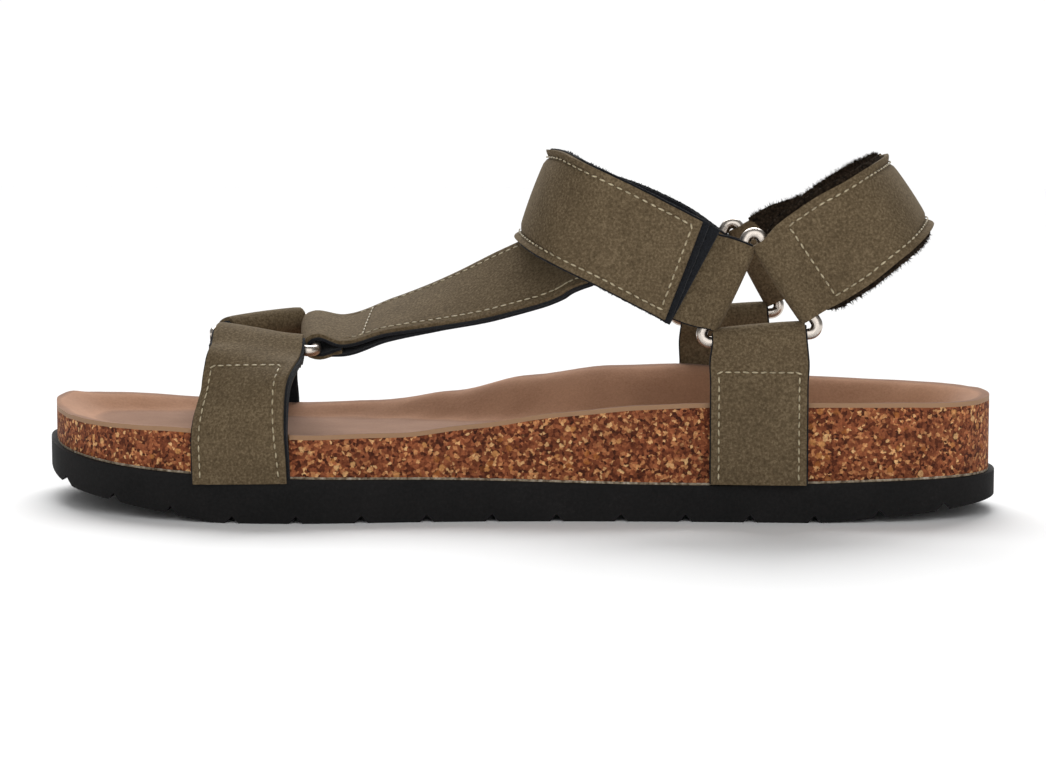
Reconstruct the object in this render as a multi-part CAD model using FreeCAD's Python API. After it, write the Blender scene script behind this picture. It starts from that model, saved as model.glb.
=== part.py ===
"""A strappy sport sandal for the left foot, in millimetres.

The toe points to -X, the heel to +X, the outer (lateral) side is -Y and the inner (medial) side +Y.
The origin is on the ground, under the middle of the sole. Every strap is a band of nubuck with a
lining behind it. Bands are lofted between "frames": a point on the strap's middle line, the
direction of the strap's width, and the direction that its good side faces.
"""
import FreeCAD, Part
import math
import os

V = FreeCAD.Vector

# ---- driving dimensions -------------------------------------------------------------------------
SOLE_LENGTH = 265.0
HALF = SOLE_LENGTH / 2
CORK_INSET = 1.6            # how far the cork stands inside the outsole's edge
JUTE = 0.6                  # backing cloth between cork and outsole
LINER = 1.2                 # suede footbed cover
TREAD_DEPTH = 1.9
TREAD_PITCH = 17.0
GROOVE = 3.6                # width of one tread groove at its mouth

WIDTH = 25.0                # straps
LOOP_WIDTH = 21.4           # where a strap narrows to turn round a ring's bar
SKIN = 1.1                  # nubuck
FELT = 0.8                  # lining
DOUBLE = 2 * (SKIN + FELT)  # a strap folded back on itself
PATCH = 0.9                 # hook tape of the closing tabs
HOOKS = 0.35                # hook tape under the ankle flap
GAP = 0.3                   # between pieces that move
SEAM = 0.14                 # half the gap between layers that are stitched together

WIRE = 1.5                  # radius of the ring wire
RING_CORNER = 2.2
BORE = WIRE + 0.1           # inside radius of a strap's loop round a bar

ANKLE_SLOPE = math.radians(24.5)     # how the ankle strap falls towards the rings
ANKLE_TILT = math.radians(19)        # how its width leans from upright
HEEL_SLOPE = math.radians(34)

# the sole's outline, from the heel along the outer side to the toe and back along the inner side
OUTLINE = [(HALF, 0), (121, -25), (99, -33), (60, -35), (20, -37), (-20, -42), (-52, -48),
           (-80, -47), (-105, -37), (-122, -19), (-130.5, 3), (-HALF, 18), (-127.5, 33), (-111, 43),
           (-85, 47.5), (-60, 48), (-30, 42), (0, 35), (30, 32), (60, 32), (99, 32), (121, 25)]

# heights along the sole, as (x, z)
TREAD_LINE = [(-HALF, 10.2), (-122, 7.0), (-106, 4.6), (-88, 2.2), (-72, 0)]
HEEL_BEVEL = [(86, 0), (98, 1.2), (112, 2.4), (HALF, 4.6)]
OUTSOLE_TOP = [(-140, 18.2), (-118, 15.2), (-100, 13.6), (-80, 12.6), (-50, 11.6), (-12, 11.0),
               (32, 9.8), (54, 9.6), (94, 10.6), (140, 11.0)]
RIM_OUTER = [(-140, 24.8), (-105, 23.7), (-82, 23.6), (-50, 22.0), (-26, 22.3), (-6, 24.4),
             (16, 27.6), (38, 29.3), (54, 30.0), (94, 30.4), (140, 29.6)]
RIM_INNER = [(-140, 26.4), (-116, 24.4), (-98, 22.8), (-66, 21.2), (-42, 22.3), (-20, 25.8),
             (2, 31.0), (24, 34.2), (46, 35.0), (84, 31.6), (105, 30.8), (140, 30.4)]
FLOOR = [(-140, 21.4), (-100, 19.6), (-60, 17.8), (-20, 18.6), (20, 20.6), (60, 20.6), (100, 19.6),
         (140, 20.0)]

# rings: centre-line corners
LATERAL_Y = -35.0
MEDIAL_Y = 32.3
RING_LATERAL = [V(66.6, LATERAL_Y, 78.6), V(52.1, LATERAL_Y, 47.3), V(85.2, LATERAL_Y, 50.4)]
RING_MEDIAL = [V(60.4, MEDIAL_Y, 78.4), V(41.8, MEDIAL_Y, 47.9), V(74.9, MEDIAL_Y, 50.8)]
RING_FRONT = [V(-82.5, -12.5, 47.6), V(-51, -22, 43), V(-57, 12.5, 50)]

ANKLE_NOSE = V(6.4, 0, 85.7)
HEEL_NOSE = V(107.4, 0, 86.2)
HEEL_AXIS = 9.5             # from the lateral ring's rear bar to the heel strap's pivot


# ---- helpers --------------------------------------------------------------------------------------
def unit(vector):
    return V(vector).normalize()


def save(shape, name):
    shape = shape.removeSplitter() if len(shape.Solids) == 1 else shape
    shape.exportStep("parts/" + name + ".step")


def smooth_line(points):
    curve = Part.BSplineCurve()
    curve.interpolate([V(x, 0, z) for x, z in points])
    return curve


def height_at(points):
    """A function that gives z for any x, straight between the points."""
    def z_at(x):
        for (x0, z0), (x1, z1) in zip(points, points[1:]):
            if x <= x1:
                share = (x - x0) / (x1 - x0)
                share = max(0.0, min(1.0, share))
                eased = share * share * (3 - 2 * share)
                return z0 + (z1 - z0) * (0.5 * share + 0.5 * eased)
        return points[-1][1]
    return z_at


def outline_face(inset):
    """The sole's plan view, moved inwards by the inset."""
    points = [V(x, y, 0) for x, y in OUTLINE]
    curve = Part.BSplineCurve()
    curve.interpolate(points, True)
    moved = []
    for point in points:
        forward = unit(curve.tangent(curve.parameter(point))[0])
        outward = V(-forward.y, forward.x, 0)
        moved.append(point - outward * inset)
    curve.interpolate(moved, True)
    return Part.Face(Part.Wire(curve.toShape()))


def side_prism(edges):
    """A closed side view in XZ, pulled across the whole width of the sole."""
    face = Part.Face(Part.Wire(Part.__sortEdges__(edges)))
    face.translate(V(0, -70, 0))
    return face.extrude(V(0, 140, 0))


def band(frames, inside, outside, width=WIDTH):
    """A strap layer: from `inside` to `outside` of the middle line, along the good side's normal."""
    wires = []
    for frame in frames:
        centre, across, normal = frame[:3]
        half = (frame[3] if len(frame) > 3 else width) / 2
        corners = [centre + normal * n + across * s * half
                   for n, s in ((inside, -1), (inside, 1), (outside, 1), (outside, -1))]
        wires.append(Part.makePolygon(corners + corners[:1]))
    return Part.makeLoft(wires, True, len(frames) < 3)


def bar_cylinder(start, end, radius, length):
    """A cylinder round the middle of a ring's bar."""
    along = unit(end - start)
    middle = (start + end) * 0.5
    return Part.makeCylinder(radius, length, middle - along * (length / 2), along)


def slab(centre, along, across, normal, reach, width, thickness):
    """A flat plate that starts at centre and runs `reach` along, symmetric in its thickness."""
    corner = centre - across * (width / 2) - normal * (thickness / 2)
    ends = [corner, corner + across * width, corner + across * width + normal * thickness,
            corner + normal * thickness]
    return Part.Face(Part.makePolygon(ends + ends[:1])).extrude(along * reach)


def hairpin(start, end, normal, toward, reach, inner, outer, width=LOOP_WIDTH):
    """A band folded round a ring's bar, with two flat legs of the given reach."""
    across = unit(end - start)
    along = across.cross(normal)
    if along.dot(toward) < 0:
        along = along * -1
    middle = (start + end) * 0.5
    shape = bar_cylinder(start, end, outer, width)
    shape = shape.fuse(slab(middle, along, across, normal, reach, width, 2 * outer))
    shape = shape.cut(bar_cylinder(start, end, inner, width + 2))
    hollow = slab(middle, along, across, normal, reach + 1, width + 2, 2 * inner)
    return shape.cut(hollow)


def looped(frames, start, end, lining, nubuck):
    """Two layers that end in a loop round a bar: each layer is (inside, outside) of the band."""
    core = bar_cylinder(start, end, BORE, WIDTH + 4)
    felt = band(frames, *lining).fuse(bar_cylinder(start, end, BORE + FELT, LOOP_WIDTH)).cut(core)
    skin = band(frames, *nubuck).fuse(bar_cylinder(start, end, BORE + FELT + SKIN, LOOP_WIDTH))
    return skin.cut(felt).cut(core), felt


def doubled_strap(frames, start, end):
    """A strap that goes round a bar and back: the nubuck outside and the lining between."""
    return looped(frames, start, end, (-FELT, FELT), (-DOUBLE / 2, DOUBLE / 2))


def single_strap(frames, start, end):
    """A strap of one nubuck layer and one lining that ends in a loop round a bar."""
    return looped(frames, start, end, (-FELT, 0), (0, SKIN))


# ---- sole -----------------------------------------------------------------------------------------
def below_line(points, lowest):
    """The side prism under a line of heights."""
    curve = smooth_line(points).toShape()
    start = V(points[0][0], 0, points[0][1])
    end = V(points[-1][0], 0, points[-1][1])
    low_start = V(start.x, 0, lowest)
    low_end = V(end.x, 0, lowest)
    edges = [curve, Part.makeLine(end, low_end), Part.makeLine(low_end, low_start),
             Part.makeLine(low_start, start)]
    return side_prism(edges)


def tread_grooves():
    """V-shaped grooves across the sole, which also nick its lower edge."""
    cutters = []
    x = -HALF + 12
    rise = height_at(TREAD_LINE + HEEL_BEVEL)
    while x < HALF - 6:
        low, high = rise(x) - 1, rise(x) + TREAD_DEPTH
        half = GROOVE / 2 * (TREAD_DEPTH + 1) / TREAD_DEPTH
        corners = [V(x - half, -60, low), V(x, -60, high), V(x + half, -60, low)]
        face = Part.Face(Part.makePolygon(corners + corners[:1]))
        cutters.append(face.extrude(V(0, 120, 0)))
        x += TREAD_PITCH
    return cutters


def outsole():
    prism = outline_face(0).extrude(V(0, 0, 40))
    body = prism.common(below_line(OUTSOLE_TOP, -20))
    toe_clear = below_line([(-150, 14.5)] + TREAD_LINE[:-1] + [(-74, 0.05), (-70, -0.6)], -20)
    heel_clear = below_line([(80, -0.6), (84, -0.05)] + HEEL_BEVEL[1:] + [(150, 7)], -20)
    body = body.cut(toe_clear).cut(heel_clear)
    return body.cut(Part.makeCompound(tread_grooves()))


def edge_distance(wire, x, y):
    return wire.distToShape(Part.Vertex(x, y, 0))[0]


def footbed_surface(rise):
    """The dished top of the footbed: a rim all round, walls that slope in, and a flat floor."""
    face = outline_face(CORK_INSET)
    wire = face.OuterWire
    floor_at = height_at(FLOOR)
    outer_at = height_at(RIM_OUTER)
    inner_at = height_at(RIM_INNER)
    rows = []
    for i in range(47):
        x = -138 + i * 6.0
        row = []
        for j in range(25):
            y = -54 + j * 4.5
            side = max(0.0, min(1.0, (y + 25) / 50))
            rim = outer_at(x) * (1 - side) + inner_at(x) * side
            depth = edge_distance(wire, x, y) if face.isInside(V(x, y, 0), 0.01, True) else 0.0
            arch = side * math.exp(-((x - 30) / 34) ** 2)
            heel = 1 / (1 + math.exp(-(x - 60) / 12))
            wall = 10 + 14 * arch + 5 * heel
            share = max(0.0, min(1.0, (depth - 2.0) / wall))
            fall = share * share * (3 - 2 * share)
            row.append(V(x, y, rim + rise + (floor_at(x) - rim) * fall))
        rows.append(row)
    surface = Part.BSplineSurface()
    surface.interpolate(rows)
    return surface.toShape()


def above(surface):
    return surface.extrude(V(0, 0, 60))


def footbed():
    """The jute backing, the cork body and the suede cover, before the straps' slots are cut."""
    prism = outline_face(CORK_INSET).extrude(V(0, 0, 50))
    base = below_line(OUTSOLE_TOP, -20)
    lifted = below_line([(x, z + JUTE) for x, z in OUTSOLE_TOP], -20)
    jute = prism.common(lifted).cut(base)
    over_cork = above(footbed_surface(0))
    over_liner = above(footbed_surface(LINER))
    cork = prism.cut(lifted).cut(over_cork)
    liner = prism.cut(lifted).common(over_cork).cut(over_liner)
    return jute, cork, liner


# ---- rings ----------------------------------------------------------------------------------------
def ring(corners):
    """A closed triangle of round wire with rounded corners."""
    edges = []
    ends = []
    for k in range(3):
        before, corner, after = corners[k - 1], corners[k], corners[(k + 1) % 3]
        u, w = unit(before - corner), unit(after - corner)
        half = u.getAngle(w) / 2
        trim = RING_CORNER / math.tan(half)
        p, q = corner + u * trim, corner + w * trim
        centre = corner + unit(u + w) * (RING_CORNER / math.sin(half))
        top = centre + unit(corner - centre) * RING_CORNER
        edges.append(Part.Arc(p, top, q).toShape())
        ends.append((p, q))
    path = []
    for k in range(3):
        path.append(edges[k])
        path.append(Part.makeLine(ends[k][1], ends[(k + 1) % 3][0]))
    start = ends[0][1]
    direction = unit(ends[1][0] - start)
    profile = Part.Wire(Part.makeCircle(WIRE, start, direction))
    sweep = Part.Wire(path[1:] + path[:1])
    return sweep.makePipeShell([profile], True, True)


# ---- straps from the sole -------------------------------------------------------------------------
def slot(frames):
    """What a strap's foot takes out of the footbed's edge."""
    return band(frames, -DOUBLE / 2 - 0.1, 12, WIDTH + 0.4)


def side_strap(corners, y_foot, foot_z):
    """A doubled strap from under the cork straight up to the lower bar of a side ring."""
    start, end = corners[1], corners[2]
    across = unit(end - start)
    middle = (start + end) * 0.5
    out = V(0, 1 if y_foot > 0 else -1, 0)
    level = V(1, 0, 0)
    frames = [(V(middle.x, y_foot, foot_z), level, out),
              (V(middle.x, y_foot, 25), level, out),
              (V(middle.x, y_foot, 38), level, out),
              (V(middle.x, y_foot, 44), level, out, WIDTH - 0.6),
              (middle, across, out, LOOP_WIDTH)]
    return doubled_strap(frames, start, end), slot(frames)


def front_strap():
    """The outer front strap: up outside the cork, then over the foot to the front ring."""
    start, end = RING_FRONT[0], RING_FRONT[1]
    across = unit(end - start)
    frames = [(V(-67, -47.0, 9), V(1, -0.02, 0), V(0, -1, 0)),
              (V(-67, -47.1, 16), V(1, -0.02, 0), V(0, -1, 0)),
              (V(-67, -47.0, 23), V(1, -0.03, 0), V(0, -1, 0.06)),
              (V(-67, -45.4, 30), V(1, -0.05, -0.02), V(0, -1, 0.35)),
              (V(-67, -41.8, 36), V(1, -0.1, -0.05), V(0, -1, 0.85)),
              (V(-67, -36.2, 40.4), V(1, -0.14, -0.08), V(0, -0.7, 1)),
              (V(-67, -29.4, 43.2), V(1, -0.2, -0.12), V(0, -0.4, 1)),
              ((start + end) * 0.5, across, V(0.05, -0.15, 1), LOOP_WIDTH)]
    frames = square(frames)
    return doubled_strap(frames, start, end), slot(frames)


def square(frames):
    """The same frames with each normal turned square to its width."""
    result = []
    for frame in frames:
        centre, across, normal = frame[:3]
        across = unit(across)
        normal = unit(normal - across * normal.dot(across))
        result.append((centre, across, normal) + tuple(frame[3:]))
    return result


TOE_FRAMES = square([
    (V(-80, 46.6, 9), V(1, 0, 0), V(0, 1, 0)),
    (V(-80, 46.7, 16), V(1, 0, 0), V(0, 1, 0)),
    (V(-80.1, 46.6, 23), V(1, 0.02, 0), V(0, 1, 0.06)),
    (V(-80.4, 45.2, 30), V(1, 0.04, 0), V(0, 1, 0.35)),
    (V(-79.6, 41.2, 36.6), V(1, 0.12, 0.02), V(-0.05, 0.9, 0.6)),
    (V(-78.2, 34.6, 40.6), V(1, 0.26, 0.04), V(-0.1, 0.6, 0.9)),
    (V(-76.2, 26.4, 43.0), V(1, 0.45, 0.05), V(-0.1, 0.3, 1)),
    (V(-73.8, 18, 44.4), V(1, 0.62, 0.06), V(-0.1, 0.15, 1)),
    (V(-71.6, 10, 46.2), V(1, 0.8, 0.07), V(-0.08, -0.05, 1))])


def toe_strap():
    """The inner front strap, a single layer that ends in a loop round the front ring."""
    start, end = RING_FRONT[2], RING_FRONT[0]
    last = ((start + end) * 0.5, unit(start - end), V(-0.03, 0, 1), LOOP_WIDTH)
    frames = square(TOE_FRAMES + [last])
    return single_strap(frames, start, end), slot(frames)


def tab(frames, base):
    """A closing tab over a strap: hook tape below, nubuck above."""
    middle = base + GAP + PATCH
    tape = band(frames, base + GAP, middle - SEAM, WIDTH - 3)
    return band(frames, middle + SEAM, middle + SKIN), tape


def toe_tab():
    """Starts just past the ring's fold, so that it turns up about its first edge."""
    return tab(TOE_FRAMES[3:8][::-1], SKIN)


def instep_strap():
    """From the front ring's rear bar up to the ankle strap's inner face, twisting outwards."""
    start, end = RING_FRONT[1], RING_FRONT[2]
    frames = square([
        ((start + end) * 0.5, unit(end - start), V(-0.1, -0.15, 1), LOOP_WIDTH),
        (V(-46.4, -4.2, 47.6), V(-0.1, 0.96, 0.22), V(-0.08, -0.2, 1), 25),
        (V(-33, -5.2, 51.6), V(-0.04, 0.95, 0.27), V(-0.2, -0.27, 1), 26),
        (V(-18, -7.4, 56.2), V(-0.12, 0.9, 0.36), V(-0.3, -0.4, 1), 27),
        (V(-3, -10.4, 61.8), V(-0.25, 0.85, 0.45), V(-0.4, -0.55, 1), 28),
        (V(9, -13, 67.2), V(-0.36, 0.8, 0.45), V(-0.6, -0.6, 0.85), 28),
        (V(17.5, -15.6, 71.4), V(-0.4, 0.78, 0.44), V(-0.75, -0.6, 0.6), 27.5)])
    return single_strap(frames, start, end)


# ---- ankle strap ----------------------------------------------------------------------------------
ANKLE_BACK = V(math.cos(ANKLE_SLOPE), 0, -math.sin(ANKLE_SLOPE))
ANKLE_WIDTH = V(math.sin(ANKLE_TILT), 0, math.cos(ANKLE_TILT))
OUTER_ARM = -38.4           # middle line of the long strap over the anchor tab
INNER_ARM = 32.4


def ankle_frame(back, side, normal_back, normal_side):
    centre = ANKLE_NOSE + ANKLE_BACK * back + V(0, side, 0)
    normal = unit(ANKLE_BACK * normal_back + V(0, normal_side, 0))
    return centre, ANKLE_WIDTH, normal


def ankle_curve(start, stop, count):
    """Frames round the front of the ankle, from an angle on the inner side to one on the outer."""
    depth = 25.0
    middle = (OUTER_ARM + INNER_ARM) / 2
    radius = (INNER_ARM - OUTER_ARM) / 2
    frames = []
    for k in range(count):
        angle = math.radians(start + (stop - start) * k / (count - 1))
        back = depth * (1 - math.cos(angle) ** 0.8 if math.cos(angle) > 0 else 1)
        back = max(0.0, back)
        side = middle - radius * math.sin(angle)
        frames.append(ankle_frame(back, side, -math.cos(angle) * radius, -math.sin(angle) * depth))
    return frames


def ankle_strap():
    """The fixed part: round the medial ring's front bar, and round the front of the ankle."""
    start, end = RING_MEDIAL[0], RING_MEDIAL[1]
    across = unit(start - end)
    middle = (start + end) * 0.5
    frames = [(middle, across, V(0, 1, 0), LOOP_WIDTH),
              ankle_frame(39, INNER_ARM, 0, 1),
              ankle_frame(30, INNER_ARM, 0, 1)]
    frames = square(frames + ankle_curve(-80, 42, 9))
    return single_strap(frames, start, end)


def ankle_flap():
    """The long strap's free part, over the anchor tab on the outer side."""
    frames = ankle_curve(44.5, 80, 5)
    frames += [ankle_frame(back, OUTER_ARM, 0, -1) for back in (28, 34, 40, 46.6)]
    frames = square(frames)
    return band(frames, 0, SKIN), band(frames, -FELT, 0)


def ankle_anchor():
    """The short tab under the long strap, folded round the lateral ring's front bar."""
    start, end = RING_LATERAL[0], RING_LATERAL[1]
    middle = (start + end) * 0.5
    across = unit(start - end)
    frames = [(middle, across, V(0, -1, 0), LOOP_WIDTH),
              ankle_frame(50, LATERAL_Y, 0, -1),
              ankle_frame(43, LATERAL_Y, 0, -1),
              ankle_frame(36, LATERAL_Y, 0, -1)]
    frames = square(frames)
    skin, felt = doubled_strap(frames, start, end)
    tape = band(frames[2:], DOUBLE / 2, DOUBLE / 2 + HOOKS, WIDTH - 4)
    return skin, felt, tape


# ---- heel strap -----------------------------------------------------------------------------------
HEEL_BACK = V(math.cos(HEEL_SLOPE), 0, math.sin(HEEL_SLOPE))
HEEL_WIDTH = V(-math.sin(HEEL_SLOPE), 0, math.cos(HEEL_SLOPE))
PILE = 1.4                  # the heel strap's loop-pile lining
HEEL_OUTER = LATERAL_Y - (PILE - SKIN) / 2
HEEL_INNER = MEDIAL_Y + (PILE - SKIN) / 2
HEEL_TIP = 7.4              # radius of the strap's rounded end inside its loop


def heel_pivot():
    """The heel strap swings about a line across the sandal, behind both rings."""
    middle = (RING_LATERAL[0] + RING_LATERAL[2]) * 0.5
    return V(middle.x, 0, middle.z) + HEEL_BACK * HEEL_AXIS


def heel_frame(forward, side, normal_back, normal_side, width=WIDTH):
    centre = HEEL_NOSE - HEEL_BACK * forward + V(0, side, 0)
    normal = unit(HEEL_BACK * normal_back + V(0, normal_side, 0))
    return centre, HEEL_WIDTH, normal, width


def heel_curve(start, stop, count):
    depth = 15.5
    middle = (HEEL_OUTER + HEEL_INNER) / 2
    radius = (HEEL_INNER - HEEL_OUTER) / 2
    frames = []
    for k in range(count):
        angle = math.radians(start + (stop - start) * k / (count - 1))
        forward = depth * (1 - abs(math.cos(angle)) ** 0.9)
        side = middle + radius * math.sin(angle)
        width = WIDTH - 2.5 * math.cos(angle) ** 2
        frames.append(heel_frame(forward, side, math.cos(angle) * radius,
                                 math.sin(angle) * depth, width))
    return frames


def heel_loop(corners, reach):
    """The folded end round a side ring's rear bar, which holds the strap between its two legs."""
    start, end = corners[0], corners[2]
    level = V(0, 1, 0)
    skin = hairpin(start, end, level, V(1, 0, 0), reach, BORE + FELT, BORE + FELT + SKIN)
    felt = hairpin(start, end, level, V(1, 0, 0), reach, BORE, BORE + FELT)
    return skin, felt


def heel_strap():
    """The strap behind the heel, between the two ring loops, with its loop-pile lining."""
    pivot = heel_pivot()
    reach = (HEEL_NOSE - pivot).dot(HEEL_BACK)
    starts = [reach - 3.5, reach - 8.0, reach - 12.5]
    frames = [heel_frame(start, HEEL_OUTER, 0, -1) for start in starts]
    frames += heel_curve(-76, 76, 13)
    frames += [heel_frame(start, HEEL_INNER, 0, 1) for start in reversed(starts)]
    layers = []
    for inside, outside in ((2 * SEAM, SKIN), (-PILE - SEAM, -2 * SEAM)):
        layer = band(frames, inside, outside)
        for side, facing in ((HEEL_OUTER, -1), (HEEL_INNER, 1)):
            face = V(pivot.x, side + facing * inside, pivot.z)
            layer = layer.fuse(Part.makeCylinder(HEEL_TIP, outside - inside, face, V(0, facing, 0)))
        layers.append(layer)
    return layers


def heel_tab():
    """The closing tab on the inner side, lying on the heel strap."""
    frames = heel_curve(34, 84, 6)
    return tab(frames, SKIN)


# ---- build ----------------------------------------------------------------------------------------
def cut_all(shape, tools):
    for tool in tools:
        shape = shape.cut(tool)
    return shape


def build():
    os.makedirs("parts", exist_ok=True)
    ground = below_line(OUTSOLE_TOP, -20)
    rooted = {"front_lateral_strap": front_strap(),
              "lateral_side_strap": side_strap(RING_LATERAL, -34.9, 9.0),
              "medial_side_strap": side_strap(RING_MEDIAL, 32.3, 9.0),
              "toe_strap": toe_strap()}
    slots = [hole for straps, hole in rooted.values()]
    straps = {name: [layer.cut(ground) for layer in pair] for name, (pair, hole) in rooted.items()}
    straps.update({"instep_strap": instep_strap(), "ankle_strap": ankle_strap(),
                   "ankle_flap": ankle_flap(), "heel_strap": heel_strap(),
                   "heel_loop_lateral": heel_loop(RING_LATERAL, HEEL_AXIS + 3),
                   "heel_loop_medial": heel_loop(RING_MEDIAL, 18)})

    jute, cork, liner = footbed()
    save(outsole(), "outsole")
    save(cut_all(jute, slots), "jute_backing")
    save(cut_all(cork, slots), "cork_body")
    save(cut_all(liner, slots), "footbed_liner")

    save(ring(RING_LATERAL), "lateral_ring")
    save(ring(RING_MEDIAL), "medial_ring")
    save(ring(RING_FRONT), "front_ring")

    for name, (skin, felt) in straps.items():
        save(skin, name)
        save(felt, name + "_lining")
    skin, felt, tape = ankle_anchor()
    save(skin, "ankle_anchor_tab")
    save(felt, "ankle_anchor_lining")
    save(tape, "ankle_hook_patch")
    for name, (skin, tape) in {"toe_tab": toe_tab(), "heel_tab": heel_tab()}.items():
        save(skin, name)
        save(tape, name + "_hook_patch")


build()
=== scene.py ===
"""The looks of a strappy sport sandal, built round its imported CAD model.

Lengths in this file are millimetres, and are turned to metres where a mesh is made. The toe points
to -X, the heel to +X, the outer side is -Y, the inner side +Y, and Z is up.
"""
import math

import bpy
import numpy as np
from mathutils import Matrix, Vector


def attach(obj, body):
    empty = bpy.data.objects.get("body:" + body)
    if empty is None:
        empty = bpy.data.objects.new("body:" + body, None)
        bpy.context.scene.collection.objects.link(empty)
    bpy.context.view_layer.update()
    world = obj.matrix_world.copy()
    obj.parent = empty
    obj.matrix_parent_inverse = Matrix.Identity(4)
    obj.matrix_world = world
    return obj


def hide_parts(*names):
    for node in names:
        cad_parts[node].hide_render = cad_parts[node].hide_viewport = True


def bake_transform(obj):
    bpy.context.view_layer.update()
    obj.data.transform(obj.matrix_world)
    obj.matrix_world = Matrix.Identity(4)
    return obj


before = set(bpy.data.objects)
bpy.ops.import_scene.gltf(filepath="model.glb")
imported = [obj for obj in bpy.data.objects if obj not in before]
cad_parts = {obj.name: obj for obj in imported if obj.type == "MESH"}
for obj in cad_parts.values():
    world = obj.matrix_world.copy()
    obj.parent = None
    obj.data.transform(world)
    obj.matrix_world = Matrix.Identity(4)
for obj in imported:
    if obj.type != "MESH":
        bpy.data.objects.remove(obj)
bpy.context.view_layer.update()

MM = 0.001
rng = np.random.default_rng(7)

# ---- sizes shared with the CAD part ----------------------------------------------------------------
WIDTH = 25.0
NARROW = 24.0               # a strap's width where it turns round a bar
SKIN = 1.1                  # thickness of the nubuck
FELT = 0.8                  # thickness of the lining
INNER_FELT = 0.7            # thickness of the lining that hides a folded-back end
HOOK_TAPE = 0.7             # thickness of a closing tab's hook tape
STEP = 0.9                  # length of one mesh cell along a strap

# ---- how a strap is built up -----------------------------------------------------------------------
SKIN_LIFT = 1.35            # the nubuck's middle over the strap's own middle
SKIN_RADIUS = 3.05          # the nubuck's middle round a ring bar
FELT_LIFT = 0.42            # the same two for the lining
FELT_RADIUS = 2.05
SINGLE_SHIFT = -0.8         # a single strap lies this far inside its middle line
BAR_ANGLES = (36, 64, 90, 116, 144, 172)
CROWN = 0.25                # rise of the nubuck along its middle
EDGE_DROP = 0.35            # share of the crown that its edges lose
SEAM_DEPTH = 0.24           # groove of a cross seam
FLARE_RUN = 12              # length over which a flared lip rises
SLANT_RUN = 25              # length over which a slanted end straightens

STITCH_INSET = 2.0
STITCH_HEIGHT = 0.56
STITCH_PITCH = 2.35
STITCH_LENGTH = 1.75
STITCH_WIDTH = 0.5
STITCH_FLATNESS = 0.36

RING_LATERAL = np.array([(66.6, -35, 78.6), (52.1, -35, 47.3), (85.2, -35, 50.4)])
RING_MEDIAL = np.array([(60.4, 32.3, 78.4), (41.8, 32.3, 47.9), (74.9, 32.3, 50.8)])
RING_FRONT = np.array([(-82.5, -12.5, 47.6), (-51, -22, 43), (-57, 12.5, 50)])
TOP, FRONT, REAR = 0, 1, 2

ANKLE_NOSE = np.array((6.4, 0, 85.7))
ANKLE_SLOPE = math.radians(24.5)
ANKLE_TILT = math.radians(20.5)
ANKLE_OUTER, ANKLE_INNER = -38.4, 32.4
HEEL_NOSE = np.array((107.4, 0, 86.2))
HEEL_SLOPE = math.radians(34)
HEEL_OUTER, HEEL_INNER = -35.15, 32.45


# ---- geometry helpers ------------------------------------------------------------------------------
def unit(vector):
    vector = np.asarray(vector, float)
    return vector / np.linalg.norm(vector)


def smooth_rows(rows, step):
    """Rows of numbers joined by a smooth curve, spaced evenly by the length of the first three."""
    rows = np.asarray(rows, float)
    gaps = np.linalg.norm(np.diff(rows[:, :3], axis=0), axis=1)
    t = np.concatenate([[0], np.cumsum(gaps)])
    slope = np.zeros_like(rows)
    secant = np.diff(rows, axis=0) / gaps[:, None]
    slope[0], slope[-1] = secant[0], secant[-1]
    before, after = gaps[:-1, None], gaps[1:, None]
    slope[1:-1] = (secant[1:] * before + secant[:-1] * after) / (before + after)
    fine = np.linspace(0, t[-1], 6 * int(t[-1] / step) + 2)
    k = np.clip(np.searchsorted(t, fine, side="right") - 1, 0, len(gaps) - 1)
    u = ((fine - t[k]) / gaps[k])[:, None]
    g = gaps[k][:, None]
    curve = ((2 * u**3 - 3 * u**2 + 1) * rows[k] + (u**3 - 2 * u**2 + u) * g * slope[k]
             + (3 * u**2 - 2 * u**3) * rows[k + 1] + (u**3 - u**2) * g * slope[k + 1])
    length = np.concatenate([[0], np.cumsum(np.linalg.norm(np.diff(curve[:, :3], axis=0), axis=1))])
    even = np.linspace(0, length[-1], max(4, int(round(length[-1] / step)) + 1))
    return even, np.stack([np.interp(even, length, column) for column in curve.T], axis=1)


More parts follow.
